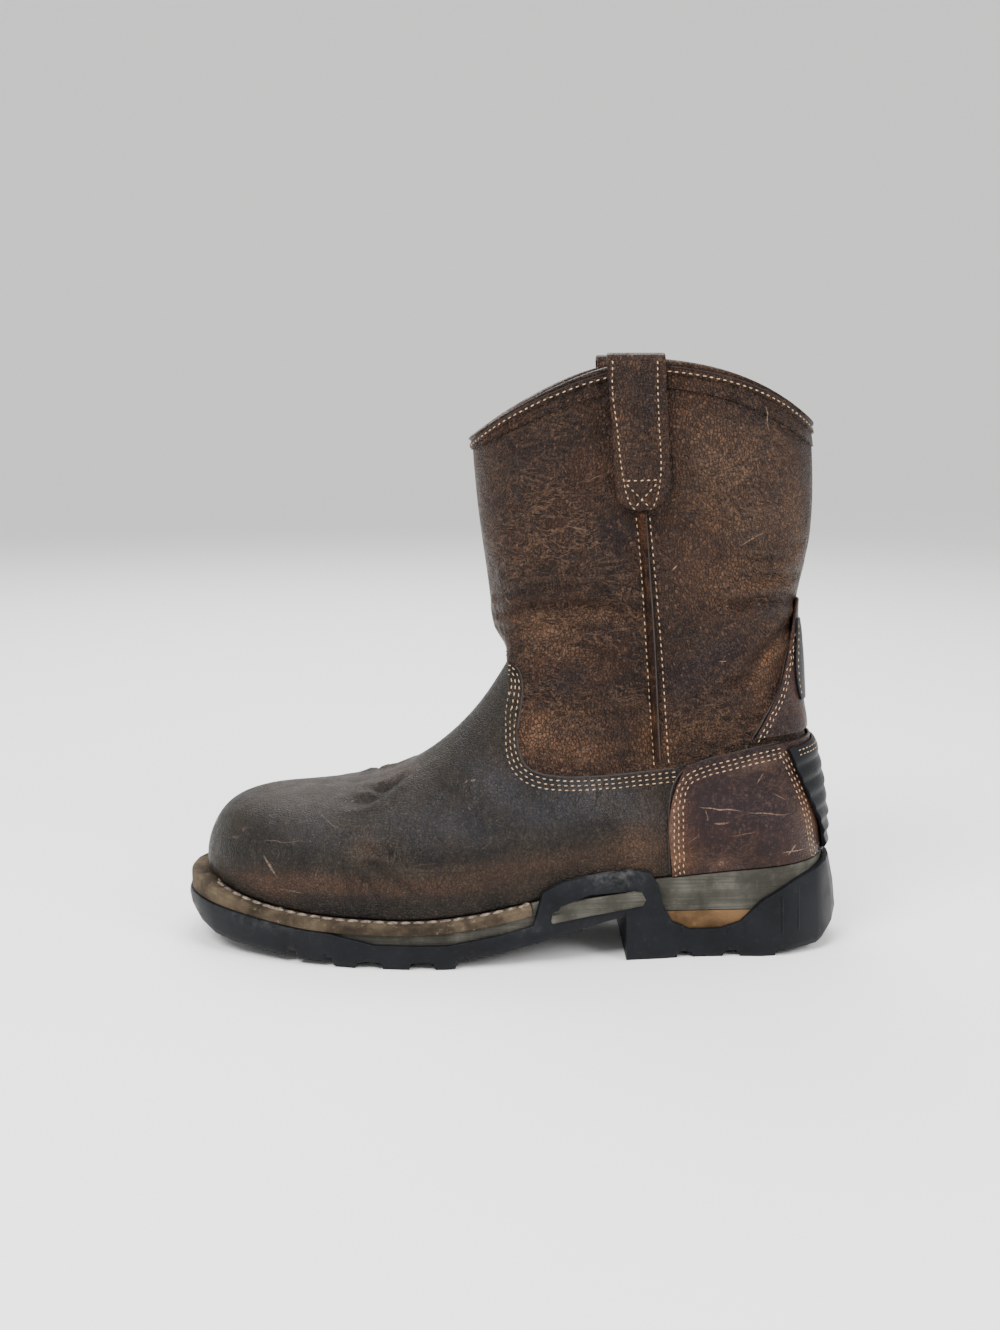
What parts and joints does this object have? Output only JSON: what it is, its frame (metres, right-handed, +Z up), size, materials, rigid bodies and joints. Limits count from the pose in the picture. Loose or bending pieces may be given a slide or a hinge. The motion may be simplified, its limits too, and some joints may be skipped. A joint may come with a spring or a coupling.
{
  "type": "western work boot",
  "caption": "Pull-on western work boot with a scalloped shaft, pull straps, ribbed heel guard and a lugged rubber sole with a heel block.",
  "frame": {"origin": "on the floor under the middle of the boot's bounding box", "axes": "+X from toe to heel, +Y to the inner side of the foot, +Z up the shaft"},
  "size_m": [0.321, 0.1158, 0.2843],
  "materials": {
    "vamp_leather": "dark brown waxed leather, dusty and rubbed",
    "shaft_leather": "warm brown tumbled leather",
    "counter_leather": "red-brown leather",
    "black_rubber": "matte black",
    "midsole_foam": "taupe foam, matte",
    "insert_foam": "tan, matte",
    "welt_leather": "worn tan edge",
    "insole_felt": "felt"
  },
  "bodies": {
    "root": {"upper": "vamp_leather", "heel_counter": "counter_leather", "backstay": "shaft_leather", "side_seam_lateral": "shaft_leather", "side_seam_medial": "shaft_leather", "collar_binding": "shaft_leather", "pull_strap_lateral": "shaft_leather", "pull_strap_medial": "shaft_leather", "heel_guard": "black_rubber", "back_tab": "black_rubber", "outsole": "black_rubber", "midsole": "midsole_foam", "heel_layer": "insert_foam", "welt": "welt_leather", "insole": "insole_felt"}
  },
  "joints": []
}
